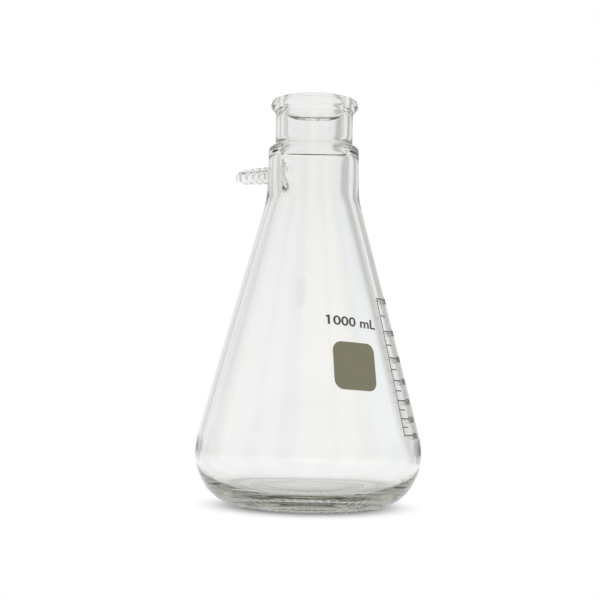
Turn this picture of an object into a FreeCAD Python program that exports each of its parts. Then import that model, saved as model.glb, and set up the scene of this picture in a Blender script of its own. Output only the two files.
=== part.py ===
import FreeCAD, Part
import math
import os

from FreeCAD import Vector, Rotation, Placement

# A one litre filter flask: a conical body of heavy laboratory glass with a hose barb
# fused into its neck, and two fields of enamel fired on its outside.
# Millimetres. Z is the flask's axis, Z 0 is the plane it stands on, and the hose barb
# points along -X, opposite the enamel.

# Outside of the body
height = 237.0
body_radius = 66.0
heel_low_radius = 26.0
heel_side_radius = 34.0
heel_change_angle = 40.0
cone_to_neck_radius = 40.0

# Standing ring and the push-up inside it
foot_ring_inner_radius = 33.0
push_up_flat_radius = 19.0
push_up_height = 3.0

# Outside of the neck: a wide lower part, a shoulder and a narrower upper part
lower_neck_length = 30.4
neck_base_radius = 27.1
neck_top_radius = 26.4
shoulder_rise = 3.9
shoulder_outer_round = 5.0
shoulder_inner_round = 5.0
upper_neck_length = 15.4
throat_radius = 22.65

# Rolled rim
rim_overhang = 3.0
rim_height = 6.2
rim_under_slope = 3.2
rim_under_round = 3.0
rim_low_round = 3.4
rim_top_round = 3.8

# Inside
floor_thickness = 7.0
inner_heel_radius = 24.0
low_wall = 3.3
high_wall = 4.85
neck_bore_radius = 21.2
mouth_bore_radius = 17.2
bore_step_drop = 1.5
bore_step_slope = 4.6

# Hose barb
arm_below_shoulder = 13.9
arm_rise_angle = 3.0
arm_shank_length = 7.7
arm_radius = 4.9
arm_root_fillet = 6.0
arm_bore_radius = 2.3
arm_bore_flare = 3.0
barb_count = 5
barb_pitch = 5.8
barb_crest_radius = 5.5
barb_crest_loss = 0.17
barb_valley_radius = 4.3
barb_back_length = 1.4
nose_length = 4.9
nose_ring_radius = 3.75
nose_tip_radius = 2.95
nose_edge_length = 1.0

# Enamel fired on the outside
enamel_thickness = 0.2
patch_angle = -17.0
patch_height = 81.0
patch_width = 25.8
patch_rise = 26.0
patch_corner = 5.0
patch_tilt = 3.5
scale_angle = 12.8
scale_tilt = 2.0
scale_line_width = 0.55
top_mark_ml = 1000
low_mark_ml = 400
major_step_ml = 100
minor_step_ml = 50
major_tick = 9.8
minor_tick = 6.8

MM3_PER_ML = 1000.0

# How near two points, or an edge and the arm's surface, have to be to count as one
same_point = 1e-6
same_surface = 0.1


# Outlines drawn as corners with rounds

def rounded_wire(corners):
    """Closed wire through (x, z, round) corners in the XZ plane, each round tangent to its sides."""
    points = [Vector(x, 0, z) for x, z, _ in corners]
    edges = []
    last = None
    first = None
    for i, (_, _, round_radius) in enumerate(corners):
        corner = points[i]
        back = (points[i - 1] - corner).normalize()
        ahead = (points[(i + 1) % len(points)] - corner).normalize()
        if round_radius:
            half = back.getAngle(ahead) / 2
            run = round_radius / math.tan(half)
            middle = (back + ahead).normalize()
            reach = round_radius / math.sin(half) - round_radius
            start, end = corner + back * run, corner + ahead * run
        else:
            start = end = corner
        if last is None:
            first = start
        elif last.distanceToPoint(start) > same_point:
            edges.append(Part.makeLine(last, start))
        if round_radius:
            edges.append(Part.Arc(start, corner + middle * reach, end).toShape())
        last = end
    if last.distanceToPoint(first) > same_point:
        edges.append(Part.makeLine(last, first))
    return Part.Wire(edges)


def turned(corners):
    """Solid of revolution about Z."""
    return Part.Face(rounded_wire(corners)).revolve(Vector(0, 0, 0), Vector(0, 0, 1), 360)


# Heights up the neck, from the top down

rim_radius = throat_radius + rim_overhang
rim_foot = height - rim_height
throat_top = rim_foot - rim_under_slope
shoulder_top = throat_top - upper_neck_length
shoulder_height = shoulder_top - shoulder_rise
neck_foot_height = shoulder_height - lower_neck_length

# Body outline: the heel is two arcs that meet at heel_change_angle below the horizontal, and
# the cone is the line from the foot of the neck that is tangent to the upper one

change = math.radians(heel_change_angle)
foot_radius = body_radius - heel_side_radius + (heel_side_radius - heel_low_radius) * math.cos(change)
side_centre = Vector(body_radius - heel_side_radius, 0,
                     heel_low_radius + (heel_side_radius - heel_low_radius) * math.sin(change))
neck_foot = Vector(neck_base_radius, 0, neck_foot_height)
to_neck = neck_foot - side_centre
cone = math.atan2(to_neck.z, to_neck.x) - math.acos(heel_side_radius / to_neck.Length)
low_run = heel_low_radius * math.tan((math.pi / 2 - change) / 2)
side_run = heel_side_radius * math.tan((change + cone) / 2)
heel_low_corner = Vector(foot_radius + low_run, 0, 0)
heel_side_corner = heel_low_corner + Vector(math.sin(change), 0, math.cos(change)) * (low_run + side_run)
cone_foot_height = heel_side_corner.z + side_run * math.cos(cone)
cone_top_height = neck_foot_height - cone_to_neck_radius * math.tan(cone / 2)
top_round_run = rim_top_round * (1 - math.tan(math.pi / 8))


def cone_radius(z):
    """Outer radius of the straight cone at a height."""
    return neck_base_radius + (neck_foot_height - z) * math.tan(cone)


outside = [
    (0, push_up_height, 0),
    (push_up_flat_radius, push_up_height, 0),
    (foot_ring_inner_radius, 0, 0),
    (heel_low_corner.x, 0, heel_low_radius),
    (heel_side_corner.x, heel_side_corner.z, heel_side_radius),
    (neck_base_radius, neck_foot_height, cone_to_neck_radius),
    (neck_top_radius, shoulder_height, shoulder_outer_round),
    (throat_radius, shoulder_top, shoulder_inner_round),
    (throat_radius, throat_top, rim_under_round),
    (rim_radius, rim_foot, rim_low_round),
    (rim_radius, height - top_round_run, rim_top_round),
    (rim_radius - top_round_run, height, rim_top_round),
    (0, height, 0),
]

# Cavity outline: the cone's wall grows from low_wall at its foot to high_wall at the neck, and
# the mouth's edge is fire polished to the same round as the rim

low_inner = cone_radius(cone_foot_height) - low_wall
high_inner = cone_radius(neck_foot_height) - high_wall
inner_slope = (low_inner - high_inner) / (neck_foot_height - cone_foot_height)


def inner_radius(z):
    """Radius of the cavity's straight cone at a height."""
    return low_inner - (z - cone_foot_height) * inner_slope


def inner_height(radius):
    """Height at which the cavity's straight cone has a radius."""
    return cone_foot_height + (low_inner - radius) / inner_slope


inner_cone_foot = floor_thickness + inner_heel_radius * (1 + math.sin(math.atan(inner_slope)))
bore_step_top = shoulder_top - bore_step_drop

cavity_corners = [
    (0, push_up_height + floor_thickness, 0),
    (push_up_flat_radius, push_up_height + floor_thickness, 0),
    (foot_ring_inner_radius, floor_thickness, 0),
    (inner_radius(floor_thickness), floor_thickness, inner_heel_radius),
    (neck_bore_radius, inner_height(neck_bore_radius), 0),
    (neck_bore_radius, bore_step_top - bore_step_slope, 0),
    (mouth_bore_radius, bore_step_top, 0),
    (mouth_bore_radius, height - top_round_run, rim_top_round),
    (mouth_bore_radius + top_round_run, height, rim_top_round),
    (mouth_bore_radius + rim_top_round, height, 0),
    (mouth_bore_radius + rim_top_round, height + rim_top_round, 0),
    (0, height + rim_top_round, 0),
]


# Hose barb: drawn along +Z from the flask's axis outward, then laid along -X

arm_height = shoulder_height - arm_below_shoulder
arm_placement = Placement(Vector(0, 0, arm_height), Rotation(Vector(0, 1, 0), -90 + arm_rise_angle))
first_crest = neck_base_radius + arm_shank_length
nose_root = first_crest + (barb_count - 0.5) * barb_pitch
arm_reach = nose_root + nose_length


def barb_outline():
    """Corners of the arm's outside, from the neck to the open nose."""
    corners = [(0, neck_bore_radius, 0), (arm_radius, neck_bore_radius, 0)]
    for i in range(barb_count):
        crest = first_crest + i * barb_pitch
        back = arm_radius if i == 0 else barb_valley_radius
        corners.append((back, crest - barb_back_length, 0))
        corners.append((barb_crest_radius - i * barb_crest_loss, crest, 0))
    corners.append((barb_valley_radius, nose_root, 0))
    corners.append((nose_ring_radius, nose_root + nose_length / 2, 0))
    corners.append((nose_ring_radius, arm_reach - nose_edge_length, 0))
    corners.append((nose_tip_radius, arm_reach, 0))
    corners.append((0, arm_reach, 0))
    return corners


def arm_bore():
    """Bore from the cavity to the nose, flared where it opens into the neck."""
    start = neck_bore_radius - arm_bore_flare
    bore = turned([
        (0, start, 0),
        (arm_bore_radius + arm_bore_flare, start, 0),
        (arm_bore_radius, neck_bore_radius + arm_bore_flare, 0),
        (arm_bore_radius, arm_reach + nose_edge_length, 0),
        (0, arm_reach + nose_edge_length, 0),
    ])
    bore.Placement = arm_placement
    return bore


def root_edges(shape):
    """Edges where the arm's plain shank leaves the neck."""
    axis = arm_placement.Rotation.multVec(Vector(0, 0, 1))
    found = []
    for edge in shape.Edges:
        middle = edge.valueAt((edge.FirstParameter + edge.LastParameter) / 2)
        along = (middle - arm_placement.Base).dot(axis)
        off_axis = (middle - arm_placement.Base - axis * along).Length
        near_wall = neck_bore_radius < along < neck_base_radius + 1
        if near_wall and abs(off_axis - arm_radius) < same_surface:
            found.append(edge)
    return found


def make_flask(cavity):
    """Body, neck and rim turned as one, the arm fused on, then the inside taken out."""
    arm = turned(barb_outline())
    arm.Placement = arm_placement
    blank = turned(outside).fuse(arm).removeSplitter()
    clear_below = arm_height - (neck_foot_height + cone_to_neck_radius * math.tan(cone / 2))
    clear_above = arm_below_shoulder - shoulder_outer_round / 2
    clear_shank = arm_shank_length - barb_back_length
    fillet = min(arm_root_fillet, clear_below - arm_radius, clear_above - arm_radius, clear_shank)
    blank = blank.makeFillet(fillet, root_edges(blank))
    return blank.cut(cavity).cut(arm_bore())


# Enamel: a skin on the cone, cut to shape along its own radius

def enamel_skin():
    """Thin shell that lies on the straight cone between the heel and the neck blend."""
    low, high = cone_foot_height, cone_top_height
    out_x, out_z = enamel_thickness * math.cos(cone), enamel_thickness * math.sin(cone)
    return turned([
        (cone_radius(low), low, 0),
        (cone_radius(low) + out_x, low + out_z, 0),
        (cone_radius(high) + out_x, high + out_z, 0),
        (cone_radius(high), high, 0),
    ])


def stencil(shapes, angle, level, tilt):
    """Flat shapes in the YZ plane, made into one cutter that faces out at an angle round Z."""
    depth = Vector(body_radius * 2, 0, 0)
    cutter = shapes[0].extrude(depth)
    if len(shapes) > 1:
        cutter = cutter.fuse([shape.extrude(depth) for shape in shapes[1:]]).removeSplitter()
    cutter.rotate(Vector(0, 0, 0), Vector(1, 0, 0), -tilt)
    cutter.translate(Vector(0, 0, level))
    cutter.rotate(Vector(0, 0, 0), Vector(0, 0, 1), angle)
    return cutter


def bar(left, right, low, high):
    """Rectangle in the YZ plane."""
    corners = [Vector(0, left, low), Vector(0, right, low), Vector(0, right, high), Vector(0, left, high)]
    return Part.Face(Part.makePolygon(corners + corners[:1]))


def patch_face():
    """Rounded rectangle in the YZ plane, centred on the X axis."""
    half_width, half_rise = patch_width / 2, patch_rise / 2
    outline = rounded_wire([
        (-half_width, -half_rise, patch_corner), (half_width, -half_rise, patch_corner),
        (half_width, half_rise, patch_corner), (-half_width, half_rise, patch_corner),
    ])
    outline.rotate(Vector(0, 0, 0), Vector(0, 0, 1), 90)
    return Part.Face(outline)


def mark_heights(cavity):
    """Heights at which the flask holds the marked volumes, up to the top of the straight cone."""
    below = Part.makeCylinder(2 * body_radius, inner_cone_foot)
    start_volume = cavity.common(below).Volume
    foot = inner_radius(inner_cone_foot)
    heights = {}
    for millilitres in range(low_mark_ml, top_mark_ml + 1, minor_step_ml):
        wanted = millilitres * MM3_PER_ML - start_volume
        cubed = foot ** 3 - 3 * inner_slope * wanted / math.pi
        if cubed > inner_radius(cone_top_height) ** 3:
            heights[millilitres] = inner_height(cubed ** (1 / 3))
    return heights


def scale_faces(heights, middle):
    """The upright line and its ticks, long ones at each major volume."""
    half = scale_line_width / 2
    faces = [bar(-half, half, min(heights.values()) - middle - half, max(heights.values()) - middle + half)]
    for millilitres, level in heights.items():
        length = minor_tick if millilitres % major_step_ml else major_tick
        faces.append(bar(-half, length, level - middle - half, level - middle + half))
    return faces


os.makedirs("parts", exist_ok=True)

cavity = turned(cavity_corners)
flask = make_flask(cavity)
flask.exportStep("parts/flask.step")

skin = enamel_skin()
patch = skin.common(stencil([patch_face()], patch_angle, patch_height, patch_tilt))
patch.exportStep("parts/marking_patch.step")

marks = mark_heights(cavity)
scale_middle = (min(marks.values()) + max(marks.values())) / 2
scale_stencil = stencil(scale_faces(marks, scale_middle), scale_angle, scale_middle, scale_tilt)
scale = skin.common(scale_stencil)
scale.exportStep("parts/graduation_scale.step")

for name, solid in (("flask", flask), ("marking_patch", patch), ("graduation_scale", scale)):
    box = solid.BoundBox
    print(name, "solids", len(solid.Solids), "valid", solid.isValid(), "volume", round(solid.Volume, 1),
          "box", [round(v, 2) for v in (box.XMin, box.YMin, box.ZMin, box.XMax, box.YMax, box.ZMax)])
print("marks", {ml: round(level, 1) for ml, level in marks.items()}, "cone", round(math.degrees(cone), 3))
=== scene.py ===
from math import atan2, cos, hypot, pi, radians, sin, tan

import bmesh
import bpy
from mathutils import Euler, Matrix, Vector


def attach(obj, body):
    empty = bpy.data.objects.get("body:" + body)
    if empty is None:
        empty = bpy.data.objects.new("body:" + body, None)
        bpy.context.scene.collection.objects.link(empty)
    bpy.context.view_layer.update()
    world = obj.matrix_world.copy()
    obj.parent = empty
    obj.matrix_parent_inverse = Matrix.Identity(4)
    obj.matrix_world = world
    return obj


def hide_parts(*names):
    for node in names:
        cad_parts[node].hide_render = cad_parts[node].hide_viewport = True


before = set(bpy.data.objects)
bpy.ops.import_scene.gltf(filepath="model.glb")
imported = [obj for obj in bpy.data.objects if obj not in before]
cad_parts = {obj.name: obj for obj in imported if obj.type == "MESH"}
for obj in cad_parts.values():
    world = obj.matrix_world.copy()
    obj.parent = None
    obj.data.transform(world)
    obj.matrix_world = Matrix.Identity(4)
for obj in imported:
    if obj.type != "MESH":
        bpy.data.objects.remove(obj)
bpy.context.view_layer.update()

# The flask's body: one blown and tooled piece of clear borosilicate glass. Half of its section is
# drawn as an outline, from the push-up under the floor, round the heel, up the cone and the neck to
# the rolled rim and back down the inside, and is then spun round the upright axis.

metres_per_mm = 0.001
spin_steps = 48
arc_step = radians(13)
tiny_arc_step = radians(23)
small_round = 8.0
same_place = 0.00002

# Millimetres from the axis, height above the bench, and the round at that corner
body_corners = [
    (0, 3.0, 0), (6.5, 3.0, 0), (19.0, 3.0, 60), (33.0, 0.02, 25), (50.25, 0.02, 26), (69.49, 22.93, 34),
    (63.9, 42.0, 0), (58.2, 64.0, 0), (51.6, 88.0, 0), (45.1, 112.0, 0), (38.5, 136.0, 0), (32.5, 158.0, 0),
    (27.1, 177.9, 40), (26.93, 185.4, 0), (26.81, 190.6, 0), (26.69, 195.8, 0), (26.57, 201.0, 0),
    (26.4, 208.6, 2.4), (22.65, 209.9, 1.1), (22.65, 219.5, 0),
    (22.65, 228.7, 2.5), (25.62, 232.2, 2.4), (25.62, 236.98, 3.0),
    (17.2, 236.98, 3.2), (17.2, 225.0, 0), (17.2, 212.5, 14),
    (21.2, 203.0, 7.4), (21.2, 200.7, 0), (21.2, 198.1, 0), (21.2, 195.5, 0),
    (21.2, 192.9, 0), (21.2, 190.3, 0),
    (21.2, 181.6, 40), (28.0, 157.7, 0), (33.9, 136.0, 0), (40.5, 112.0, 0), (47.0, 88.0, 0),
    (53.6, 64.0, 0), (69.6, 7.5, 21.3), (38.8, 7.5, 25), (22.4, 9.3, 60), (6.5, 9.3, 0), (0, 9.3, 0),
]


def drawn(corners):
    """Points of an open outline, in which each corner with a round becomes an arc tangent to its sides."""
    points = []
    for i, (across, up, round_size) in enumerate(corners):
        corner = Vector((across, up))
        if not round_size:
            points.append(corner)
            continue
        back = (Vector(corners[i - 1][:2]) - corner).normalized()
        ahead = (Vector(corners[i + 1][:2]) - corner).normalized()
        half = back.angle(ahead) / 2
        turn = pi - 2 * half
        centre = corner + (back + ahead).normalized() * round_size / sin(half)
        start = corner + back * round_size / tan(half) - centre
        swing = turn if back.cross(start) > 0 else -turn
        cuts = max(2, round(turn / (tiny_arc_step if round_size < small_round else arc_step)))
        for k in range(cuts + 1):
            angle = swing * k / cuts
            points.append(centre + Vector((start.x * cos(angle) - start.y * sin(angle),
                                           start.x * sin(angle) + start.y * cos(angle))))
    return points


def kept_size(steps):
    """How much larger a ring of so many points is drawn, because subdividing draws it in."""
    return 3 / (2 + cos(2 * pi / steps))


bpy.ops.object.select_all(action="DESELECT")
bpy.ops.mesh.primitive_plane_add(size=0.01)
flask = bpy.context.object
flask.name = "flask_glass"
bpy.ops.object.mode_set(mode="EDIT")
bpy.ops.mesh.merge(type="CENTER")
section = [Vector((point.x * kept_size(spin_steps), 0, point.y)) * metres_per_mm
           for point in drawn(body_corners)]
bpy.ops.transform.translate(value=section[0])
for here, there in zip(section, section[1:]):
    bpy.ops.mesh.extrude_region_move(TRANSFORM_OT_translate={"value": there - here})
bpy.ops.mesh.select_all(action="SELECT")
bpy.ops.mesh.spin(steps=spin_steps, angle=2 * pi, center=(0, 0, 0), axis=(0, 0, 1))
bpy.ops.mesh.select_all(action="SELECT")
bpy.ops.mesh.remove_doubles(threshold=same_place)

# The hose barb: a hollow arm of the same glass, fused to the lower neck and tilted up a little. Five
# rings with a steep back and a long slope hold the vacuum hose, and the bore runs on into the neck.

arm_height = 0.1944
arm_rise = radians(3)
arm_sides = 16
arm_way = Vector((-cos(arm_rise), 0, sin(arm_rise)))
root_half_angle = radians(15)
root_outside = (0.1854, 0.2050)
root_inside = (0.1903, 0.2007)
wall_middle = 0.024
barb_count = 5
barb_pitch = 5.8
barb_loss = 0.17
first_crest = 34.8
first_crest_radius = 5.5
groove_radius = 4.45

# Millimetres along the arm from the flask's axis, and the radius there
arm_rings = [(28.4, 6.9), (30.2, 5.4), (32.7, 4.8)]
for barb in range(barb_count):
    crest = first_crest + barb * barb_pitch
    crest_radius = first_crest_radius - barb * barb_loss
    arm_rings += [(crest - 1.25, groove_radius), (crest - 0.45, crest_radius - 0.22),
                  (crest + 0.1, crest_radius), (crest + 0.8, crest_radius - 0.12),
                  (crest + 2.7, crest_radius - 0.62)]
arm_rings += [(61.0, 3.95), (62.2, 3.72), (63.7, 3.6), (64.9, 3.35), (65.5, 3.05), (65.7, 2.75),
              (65.4, 2.45), (64.2, 2.3), (56.0, 2.3), (47.0, 2.3), (38.0, 2.3), (28.0, 2.3),
              (24.5, 2.5), (22.9, 3.1)]


def pick_faces(piece, wanted):
    """Selects, in edit mode, only the faces whose middle passes the test."""
    cage = bmesh.from_edit_mesh(piece.data)
    for face in cage.faces:
        face.select_set(False)
    for face in cage.faces:
        if wanted(face.calc_center_median()):
            face.select_set(True)
    bmesh.update_edit_mesh(piece.data)


def pick_open_edges(piece, wanted):
    """Selects, in edit mode, only the edges of open holes whose middle passes the test."""
    cage = bmesh.from_edit_mesh(piece.data)
    for edge in cage.edges:
        edge.select_set(False)
    for edge in cage.edges:
        if edge.is_boundary and wanted((edge.verts[0].co + edge.verts[1].co) / 2):
            edge.select_set(True)
    bmesh.update_edit_mesh(piece.data)


def at_root(place, heights, outside):
    """Whether a place lies on the patch of wall that the arm takes up, on that side of the wall."""
    turned = abs(atan2(place.y, -place.x))
    far_out = hypot(place.x, place.y) > wall_middle
    return turned < root_half_angle and heights[0] < place.z < heights[1] and far_out == outside


for heights, outside in ((root_outside, True), (root_inside, False)):
    pick_faces(flask, lambda place: at_root(place, heights, outside))
    bpy.ops.mesh.delete(type="FACE")

first_along, first_radius = arm_rings[0]
ring_centre = Vector((0, 0, arm_height)) + arm_way * first_along * metres_per_mm
bpy.ops.mesh.select_all(action="DESELECT")
drawn_radius = first_radius * metres_per_mm * kept_size(arm_sides)
bpy.ops.mesh.primitive_circle_add(vertices=arm_sides, radius=drawn_radius, fill_type="NOTHING",
                                  location=ring_centre, rotation=(0, arm_rise - pi / 2, 0))
for (along, radius), (next_along, next_radius) in zip(arm_rings, arm_rings[1:]):
    step = arm_way * (next_along - along) * metres_per_mm
    ring_centre = ring_centre + step
    bpy.ops.mesh.extrude_edges_move(TRANSFORM_OT_translate={"value": step})
    bpy.ops.transform.resize(value=(next_radius / radius,) * 3, center_override=ring_centre)
for outside in (True, False):
    pick_open_edges(flask, lambda place: (hypot(place.x, place.y) > wall_middle) == outside)
    bpy.ops.mesh.bridge_edge_loops()

bpy.ops.mesh.select_all(action="SELECT")
bpy.ops.mesh.normals_make_consistent(inside=False)
bpy.ops.object.mode_set(mode="OBJECT")
smoothing = flask.modifiers.new("smoothing", "SUBSURF")
smoothing.levels = smoothing.render_levels = 2
bpy.ops.object.modifier_apply(modifier=smoothing.name)

# The foot: the mould leaves a stipple of shallow dimples round the ring that the flask stands on, one row
# inside the ring and one row outside it, where the heel begins.

foot_level = 0.004
foot_columns = 4 * spin_steps
dimple_rim = 0.0005
dimple_depth = 0.0008

# Metres from the axis to each row's two edges, and how many columns of faces a dimple and its gap take
dimple_rows = ((0.0262, 0.0325, 4), (0.0422, 0.0475, 3))


def in_dimple(place, near, far, pitch):
    """Whether a place on the foot is in that row, and not in the gap between two dimples."""
    column = int(atan2(place.y, place.x) % (2 * pi) / (2 * pi) * foot_columns)
    return place.z < foot_level and near < hypot(place.x, place.y) < far and column % pitch > 0


bpy.ops.object.mode_set(mode="EDIT")
for near, far, pitch in dimple_rows:
    pick_faces(flask, lambda place: in_dimple(place, near, far, pitch))
    bpy.ops.mesh.inset(use_individual=False, thickness=dimple_rim)
    bpy.ops.transform.translate(value=(0, 0, dimple_depth))
bpy.ops.object.mode_set(mode="OBJECT")
bpy.ops.object.shade_smooth()

# The glass: clear borosilicate, polished by the flame, with no colour where it is thin and a little
# grey-green where the eye looks along a thick part, as in the heel.

glass = bpy.data.materials.new("clear borosilicate glass")
glass.use_nodes = True
glass_nodes = glass.node_tree.nodes
surface = glass_nodes["Principled BSDF"]
surface.inputs["Base Color"].default_value = (1, 1, 1, 1)
surface.inputs["Roughness"].default_value = 0.0
surface.inputs["IOR"].default_value = 1.473
surface.inputs["Transmission Weight"].default_value = 1.0
tint = glass_nodes.new("ShaderNodeVolumeAbsorption")
tint.inputs["Color"].default_value = (0.664, 0.682, 0.61, 1)
tint.inputs["Density"].default_value = 22.0
glass.node_tree.links.new(tint.outputs["Volume"], glass_nodes["Material Output"].inputs["Volume"])
flask.data.materials.append(glass)
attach(flask, "root")
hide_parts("flask")

# Enamel: fields and figures printed on the outside of the cone and fired into the glass. Each is cut
# flat, stood upright in front of the flask, pressed onto the cone and given the enamel's thickness.

enamel_gap = 0.00003
enamel_thickness = 0.00013
strip_width = 0.0015
in_front = 0.09


def cut_in_strips(piece):
    """Cuts a flat piece into upright strips that are narrow enough to follow the cone's curve."""
    across = [corner.co.x for corner in piece.data.vertices]
    bpy.ops.object.mode_set(mode="EDIT")
    for k in range(1, int((max(across) - min(across)) / strip_width) + 1):
        bpy.ops.mesh.select_all(action="SELECT")
        bpy.ops.mesh.bisect(plane_co=(min(across) + k * strip_width, 0, 0), plane_no=(1, 0, 0))
    bpy.ops.object.mode_set(mode="OBJECT")


def fire_on(piece, azimuth, height, tilt, material):
    """Presses a flat piece onto the glass, facing out at that azimuth, its right end tilted down."""
    cut_in_strips(piece)
    outward = Matrix.Rotation(azimuth, 3, "Z")
    upright = Euler((pi / 2, 0, pi / 2)).to_matrix()
    piece.rotation_euler = (outward @ Matrix.Rotation(-tilt, 3, "X") @ upright).to_euler()
    piece.location = outward @ Vector((in_front, 0, height))
    press = piece.modifiers.new("press", "SHRINKWRAP")
    press.target = flask
    press.wrap_method = "PROJECT"
    press.use_project_z = True
    press.use_positive_direction = False
    press.use_negative_direction = True
    press.offset = enamel_gap
    body = piece.modifiers.new("thickness", "SOLIDIFY")
    body.thickness = enamel_thickness
    body.offset = 1
    for step in (press.name, body.name):
        bpy.ops.object.modifier_apply(modifier=step)
    bpy.ops.object.transform_apply(location=True, rotation=True, scale=True)
    piece.data.materials.append(material)
    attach(piece, "root")


def fired_enamel(name, colour, worn_colour):
    """Matt enamel with the faint cloudiness and grain of a print that was fired."""
    material = bpy.data.materials.new(name)
    material.use_nodes = True
    nodes, links = material.node_tree.nodes, material.node_tree.links
    surface = nodes["Principled BSDF"]
    surface.inputs["Specular IOR Level"].default_value = 0.3
    place = nodes.new("ShaderNodeTexCoord")
    cloud = nodes.new("ShaderNodeTexNoise")
    cloud.inputs["Scale"].default_value = 140.0
    cloud.inputs["Detail"].default_value = 4.0
    tone = nodes.new("ShaderNodeMix")
    tone.data_type = "RGBA"
    tone.inputs["A"].default_value = colour
    tone.inputs["B"].default_value = worn_colour
    grain = nodes.new("ShaderNodeTexNoise")
    grain.inputs["Scale"].default_value = 3000.0
    dull = nodes.new("ShaderNodeMapRange")
    dull.inputs["To Min"].default_value = 0.55
    dull.inputs["To Max"].default_value = 0.8
    links.new(place.outputs["Object"], cloud.inputs["Vector"])
    links.new(place.outputs["Object"], grain.inputs["Vector"])
    links.new(cloud.outputs["Fac"], tone.inputs["Factor"])
    links.new(tone.outputs["Result"], surface.inputs["Base Color"])
    links.new(grain.outputs["Fac"], dull.inputs["Value"])
    links.new(dull.outputs["Result"], surface.inputs["Roughness"])
    return material


olive = fired_enamel("olive enamel", (0.20, 0.19, 0.13, 1), (0.24, 0.225, 0.155, 1))
dark = fired_enamel("dark enamel", (0.085, 0.08, 0.072, 1), (0.12, 0.115, 0.105, 1))


def flat_words(words, weight, across, up, width, capital_height):
    """Adds plain letters of that weight as a flat piece of that size, centred at that place."""
    bpy.ops.object.select_all(action="DESELECT")
    bpy.ops.object.text_add()
    letters = bpy.context.object
    letters.data.body = words
    letters.data.offset = weight
    letters.data.resolution_u = 4
    bpy.ops.object.convert(target="MESH")
    letters = bpy.context.object
    letters.dimensions = (width, capital_height, 0)
    bpy.ops.object.origin_set(type="ORIGIN_GEOMETRY", center="BOUNDS")
    letters.location = (across, up, 0)
    bpy.ops.object.transform_apply(location=True, rotation=False, scale=True)
    return letters


# The capacity, in plain bold figures above the marking patch. The letters are flat words, and the one
# gets a flag at its head.

flag_middle = (-0.01545, 0.00185, 0)
flag_size = (0.0016, 0.0008, 1)
flag_turn = radians(-38)
capacity_weight = 0.02
capacity_width = 0.0304
capacity_height = 0.0053
capacity_azimuth = radians(-14.6)
capacity_level = 0.1052
capacity_tilt = radians(4.5)

capacity = flat_words("1000 mL", capacity_weight, 0, 0, capacity_width, capacity_height)
capacity.name = "capacity_figures_enamel"
bpy.ops.object.mode_set(mode="EDIT")
bpy.ops.mesh.select_all(action="DESELECT")
bpy.ops.mesh.primitive_plane_add(size=1, location=flag_middle)
bpy.ops.transform.resize(value=flag_size, center_override=flag_middle)
bpy.ops.transform.rotate(value=flag_turn, orient_axis="Z", center_override=flag_middle)
bpy.ops.object.mode_set(mode="OBJECT")
fire_on(capacity, capacity_azimuth, capacity_level, capacity_tilt, dark)

# The marking patch: a plain field of olive enamel that a pencil writes on, with rounded corners. It is
# printed and fired onto the cone as the figures are.

patch_size = (0.0258, 0.0260, 0)
patch_corner = 0.005
patch_azimuth = radians(-17.0)
patch_level = 0.081
patch_tilt = radians(3.5)

bpy.ops.object.select_all(action="DESELECT")
bpy.ops.mesh.primitive_plane_add(size=1)
patch = bpy.context.object
patch.name = "marking_patch_enamel"
patch.dimensions = patch_size
bpy.ops.object.transform_apply(location=False, rotation=False, scale=True)
bpy.ops.object.mode_set(mode="EDIT")
bpy.ops.mesh.bevel(affect="VERTICES", offset=patch_corner, segments=8)
bpy.ops.object.mode_set(mode="OBJECT")
fire_on(patch, patch_azimuth, patch_level, patch_tilt, olive)
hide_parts("marking_patch")

# The graduations: an upright line with a short tick each 50 millilitres and a long one each 100.
# They stand closer together low down, where the cone is wider and each 50 millilitres is a thinner layer.

scale_azimuth = radians(12.8)
scale_tilt = radians(2)
line_width = 0.00055
long_tick = 0.0098
short_tick = 0.0068
figure_gap = 0.0008
figure_pitch = 0.0028
figure_height = 0.0034
figure_drop = 0.0004
figure_weight = -0.016
lowest_mark = 400
highest_mark = 1000
mark_step = 50
figure_step = 100
lowest_mark_height = 0.0434
bore_at_lowest_mark = 0.0605
bore_slope = 0.2847
cubic_metres_per_ml = 1e-6


def mark_height(millilitres):
    """Height at which the cone, which narrows upwards, holds that much above the lowest mark."""
    layer = 3 * bore_slope * (millilitres - lowest_mark) * cubic_metres_per_ml / pi
    bore = (bore_at_lowest_mark ** 3 - layer) ** (1 / 3)
    return lowest_mark_height + (bore_at_lowest_mark - bore) / bore_slope


scale_middle = (mark_height(lowest_mark) + mark_height(highest_mark)) / 2


def add_bar(left, right, low, high):
    """Adds a rectangle, in edit mode, to the flat piece."""
    middle = ((left + right) / 2, (low + high) / 2, 0)
    bpy.ops.mesh.primitive_plane_add(size=1, location=middle)
    bpy.ops.transform.resize(value=(right - left, high - low, 1), center_override=middle)


bpy.ops.object.select_all(action="DESELECT")
bpy.ops.mesh.primitive_plane_add(size=1)
scale = bpy.context.object
scale.name = "graduation_scale_enamel"
bpy.ops.object.mode_set(mode="EDIT")
bpy.ops.mesh.delete(type="VERT")
line_edge = line_width / 2
half_scale = (mark_height(highest_mark) - mark_height(lowest_mark)) / 2
add_bar(-line_edge, line_edge, -half_scale - line_edge, half_scale + line_edge)
for millilitres in range(lowest_mark, highest_mark + 1, mark_step):
    reach = short_tick if millilitres % figure_step else long_tick
    level = mark_height(millilitres) - scale_middle
    add_bar(line_edge, reach, level - line_edge, level + line_edge)
bpy.ops.object.mode_set(mode="OBJECT")
figures = []
for millilitres in range(lowest_mark, highest_mark + 1, figure_step):
    figure_width = figure_pitch * len(str(millilitres))
    across = long_tick + figure_gap + figure_width / 2
    up = mark_height(millilitres) - scale_middle - figure_drop
    figures.append(flat_words(str(millilitres), figure_weight, across, up, figure_width, figure_height))
bpy.ops.object.select_all(action="DESELECT")
for piece in figures:
    piece.select_set(True)
scale.select_set(True)
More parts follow.
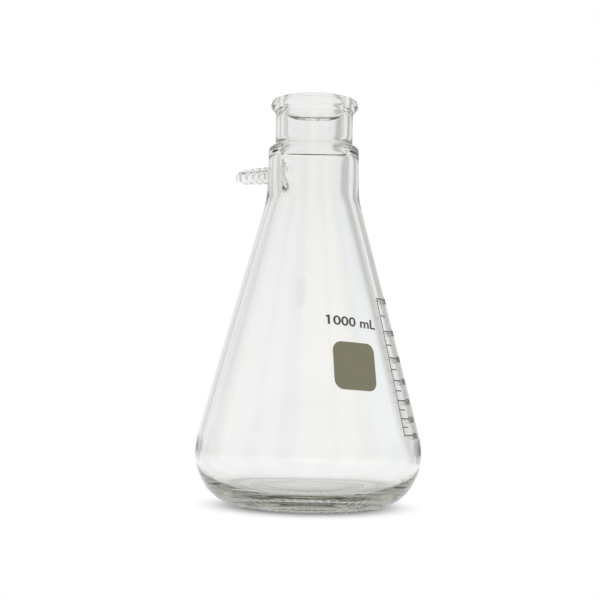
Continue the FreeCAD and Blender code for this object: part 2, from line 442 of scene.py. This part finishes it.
bpy.context.view_layer.objects.active = scale
bpy.ops.object.join()
fire_on(scale, scale_azimuth, scale_middle, scale_tilt, dark)
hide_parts("graduation_scale")

# Studio: a sheet of pale paper that fades to white round the flask, so that only the contact shadow shows.
# Seen through the glass it glows as a lit table, with a painted shadow where the flask stands on it: the
# glow there is turned down.

paper_radius = 0.45
shadow_edge = (0.032, 0.070)
# Distances from the axis over which the painted shadow under the flask fades out, and the glow inside and
# beyond them
painted_shadow_fade = (0.040, 0.075)
table_glow_and_painted_shadow = (0.54, 0.955)

bpy.ops.object.select_all(action="DESELECT")
bpy.ops.mesh.primitive_circle_add(vertices=96, radius=paper_radius, fill_type="NGON", location=(0, 0, 0))
floor = bpy.context.object
floor.name = "floor"
paper = bpy.data.materials.new("white paper")
paper.use_nodes = True
paper_nodes = paper.node_tree.nodes
paper_links = paper.node_tree.links
paper_nodes.remove(paper_nodes["Principled BSDF"])
matte = paper_nodes.new("ShaderNodeBsdfDiffuse")
matte.inputs["Color"].default_value = (0.90, 0.90, 0.90, 1)
lit = paper_nodes.new("ShaderNodeEmission")
lit.inputs["Color"].default_value = (1, 1, 1, 1)
# Painted shadow under the flask: the glow that glossy and transmission rays see is turned down near the
# axis
painted_shadow_under_flask = paper_nodes.new("ShaderNodeMapRange")
painted_shadow_under_flask.interpolation_type = "SMOOTHSTEP"
painted_shadow_under_flask.inputs["From Min"].default_value, painted_shadow_under_flask.inputs["From Max"].default_value = painted_shadow_fade
painted_shadow_under_flask.inputs["To Min"].default_value, painted_shadow_under_flask.inputs["To Max"].default_value = table_glow_and_painted_shadow
glow = paper_nodes.new("ShaderNodeMath")
glow.operation = "MAXIMUM"
place = paper_nodes.new("ShaderNodeTexCoord")
distance = paper_nodes.new("ShaderNodeVectorMath")
distance.operation = "LENGTH"
fade = paper_nodes.new("ShaderNodeMapRange")
fade.interpolation_type = "SMOOTHSTEP"
fade.inputs["From Min"].default_value, fade.inputs["From Max"].default_value = shadow_edge
rays = paper_nodes.new("ShaderNodeLightPath")
faded = paper_nodes.new("ShaderNodeMath")
faded.operation = "MULTIPLY"
seen = paper_nodes.new("ShaderNodeMath")
seen.operation = "ADD"
seen_too = paper_nodes.new("ShaderNodeMath")
seen_too.operation = "ADD"
seen_too.use_clamp = True
paper_mix = paper_nodes.new("ShaderNodeMixShader")
paper_links.new(place.outputs["Object"], distance.inputs[0])
paper_links.new(distance.outputs["Value"], fade.inputs["Value"])
paper_links.new(rays.outputs["Is Camera Ray"], faded.inputs[0])
paper_links.new(fade.outputs["Result"], faded.inputs[1])
paper_links.new(faded.outputs["Value"], seen.inputs[0])
paper_links.new(rays.outputs["Is Glossy Ray"], seen.inputs[1])
paper_links.new(seen.outputs["Value"], seen_too.inputs[0])
paper_links.new(rays.outputs["Is Transmission Ray"], seen_too.inputs[1])
paper_links.new(distance.outputs["Value"], painted_shadow_under_flask.inputs["Value"])
# Camera rays see the full white backdrop glow; glossy and transmission rays see the glow with the painted
# shadow
paper_links.new(rays.outputs["Is Camera Ray"], glow.inputs[0])
paper_links.new(painted_shadow_under_flask.outputs["Result"], glow.inputs[1])
paper_links.new(glow.outputs["Value"], lit.inputs["Strength"])
paper_links.new(seen_too.outputs["Value"], paper_mix.inputs[0])
paper_links.new(matte.outputs["BSDF"], paper_mix.inputs[1])
paper_links.new(lit.outputs["Emission"], paper_mix.inputs[2])
paper_links.new(paper_mix.outputs["Shader"], paper_nodes["Material Output"].inputs["Surface"])
floor.data.materials.append(paper)

# The room: white to the eye. What the glass bends and mirrors is a ring of white screens with greyer gaps
# between them, wide and thin in turn, under a dark ceiling with a light in its middle. The gaps and the
# ceiling draw the edges of clear glass.

world = bpy.data.worlds.new("white studio")
bpy.context.scene.world = world
world.use_nodes = True
air = world.node_tree.nodes
air_links = world.node_tree.links
air.remove(air["Background"])


def air_math(operation, first, second=0.0):
    """Adds a sum on the world's numbers and returns its result."""
    step = air.new("ShaderNodeMath")
    step.operation = operation
    for socket, value in zip(step.inputs, (first, second)):
        if isinstance(value, float):
            socket.default_value = value
        else:
            air_links.new(value, socket)
    return step.outputs["Value"]


def air_range(value, from_low, from_high, to_low, to_high):
    """Adds a smooth step from one level to another and returns its result."""
    step = air.new("ShaderNodeMapRange")
    step.interpolation_type = "SMOOTHSTEP"
    step.inputs["From Min"].default_value = from_low
    step.inputs["From Max"].default_value = from_high
    step.inputs["To Min"].default_value = to_low
    step.inputs["To Max"].default_value = to_high
    air_links.new(value, step.inputs["Value"])
    return step.outputs["Result"]


gap_pairs = 4.0
wide_gap = radians(111)
wide_gap_edge = (0.55, 0.90)
wide_gap_level = 0.55
thin_gap = radians(164)
thin_gap_edge = (0.93, 0.985)
thin_gap_level = 0.72
screen_edge = (-0.03, 0.18)
high_screen_level = 0.93
ceiling_edge = (0.62, 0.82)
ceiling_level = 0.12
overhead_edge = (0.86, 0.93)
overhead_level = 0.9
way = air.new("ShaderNodeTexCoord")
parts = air.new("ShaderNodeSeparateXYZ")
air_links.new(way.outputs["Generated"], parts.inputs["Vector"])
around = air_math("ARCTAN2", parts.outputs["Y"], parts.outputs["X"])
wide_wave = air_math("COSINE", air_math("MULTIPLY", air_math("SUBTRACT", around, wide_gap), gap_pairs))
thin_wave = air_math("COSINE", air_math("MULTIPLY", air_math("SUBTRACT", around, thin_gap), gap_pairs))
ring = air_math("MULTIPLY", air_range(wide_wave, *wide_gap_edge, 1.0, wide_gap_level),
                air_range(thin_wave, *thin_gap_edge, 1.0, thin_gap_level))
ceiling = air_math("MULTIPLY", air_range(parts.outputs["Z"], *screen_edge, 1.0, high_screen_level),
                   air_range(parts.outputs["Z"], *ceiling_edge, 1.0, ceiling_level))
overhead = air_range(parts.outputs["Z"], *overhead_edge, 0.0, overhead_level)
level = air_math("MULTIPLY", ring, air_math("MAXIMUM", ceiling, overhead))

streak = air.new("ShaderNodeVectorMath")
streak.operation = "MULTIPLY"
streak.inputs[1].default_value = (1, 1, 0)
cloud = air.new("ShaderNodeTexNoise")
cloud.inputs["Scale"].default_value = 7.0
cloud.inputs["Detail"].default_value = 1.0
tint_mix = air.new("ShaderNodeMix")
tint_mix.data_type = "RGBA"
tint_mix.inputs["A"].default_value = (0.94, 0.965, 0.98, 1)
tint_mix.inputs["B"].default_value = (1.0, 0.98, 0.955, 1)
air_links.new(way.outputs["Generated"], streak.inputs[0])
air_links.new(streak.outputs["Vector"], cloud.inputs["Vector"])
air_links.new(air_range(cloud.outputs["Fac"], 0.35, 0.65, 0.0, 1.0), tint_mix.inputs["Factor"])

room = air.new("ShaderNodeBackground")
air_links.new(tint_mix.outputs["Result"], room.inputs["Color"])
air_links.new(level, room.inputs["Strength"])
plain = air.new("ShaderNodeBackground")
plain.inputs["Color"].default_value = (1, 1, 1, 1)
plain.inputs["Strength"].default_value = 1.0
fill = air.new("ShaderNodeBackground")
fill.inputs["Color"].default_value = (1, 1, 1, 1)
fill.inputs["Strength"].default_value = 0.95
air_rays = air.new("ShaderNodeLightPath")
through = air_math("MAXIMUM", air_rays.outputs["Is Glossy Ray"], air_rays.outputs["Is Transmission Ray"])
first_mix = air.new("ShaderNodeMixShader")
last_mix = air.new("ShaderNodeMixShader")
air_links.new(through, first_mix.inputs[0])
air_links.new(fill.outputs["Background"], first_mix.inputs[1])
air_links.new(room.outputs["Background"], first_mix.inputs[2])
air_links.new(air_rays.outputs["Is Camera Ray"], last_mix.inputs[0])
air_links.new(first_mix.outputs["Shader"], last_mix.inputs[1])
air_links.new(plain.outputs["Background"], last_mix.inputs[2])
air_links.new(last_mix.outputs["Shader"], air["World Output"].inputs["Surface"])

# Camera: low, close to level and tilted up a little, with the arm turned away to the left, as the
# photograph was taken.

eye_distance = 0.700
eye_height = 0.080
eye_azimuth = radians(45)
eye_turn = (radians(93.2), radians(-1.12), radians(45.464))
eye_place = (eye_distance * sin(eye_azimuth), -eye_distance * cos(eye_azimuth), eye_height)
bpy.ops.object.camera_add(location=eye_place, rotation=eye_turn)
camera = bpy.context.object
camera.data.lens = 71.9
camera.data.sensor_width = 36
bpy.context.scene.camera = camera
bpy.context.scene.view_settings.view_transform = "Standard"

# Light bounces to and fro inside the thick heel many times before it leaves the glass.
heel_bounces = 48
light_paths = bpy.context.scene.cycles
light_paths.max_bounces = light_paths.transmission_bounces = light_paths.glossy_bounces = heel_bounces
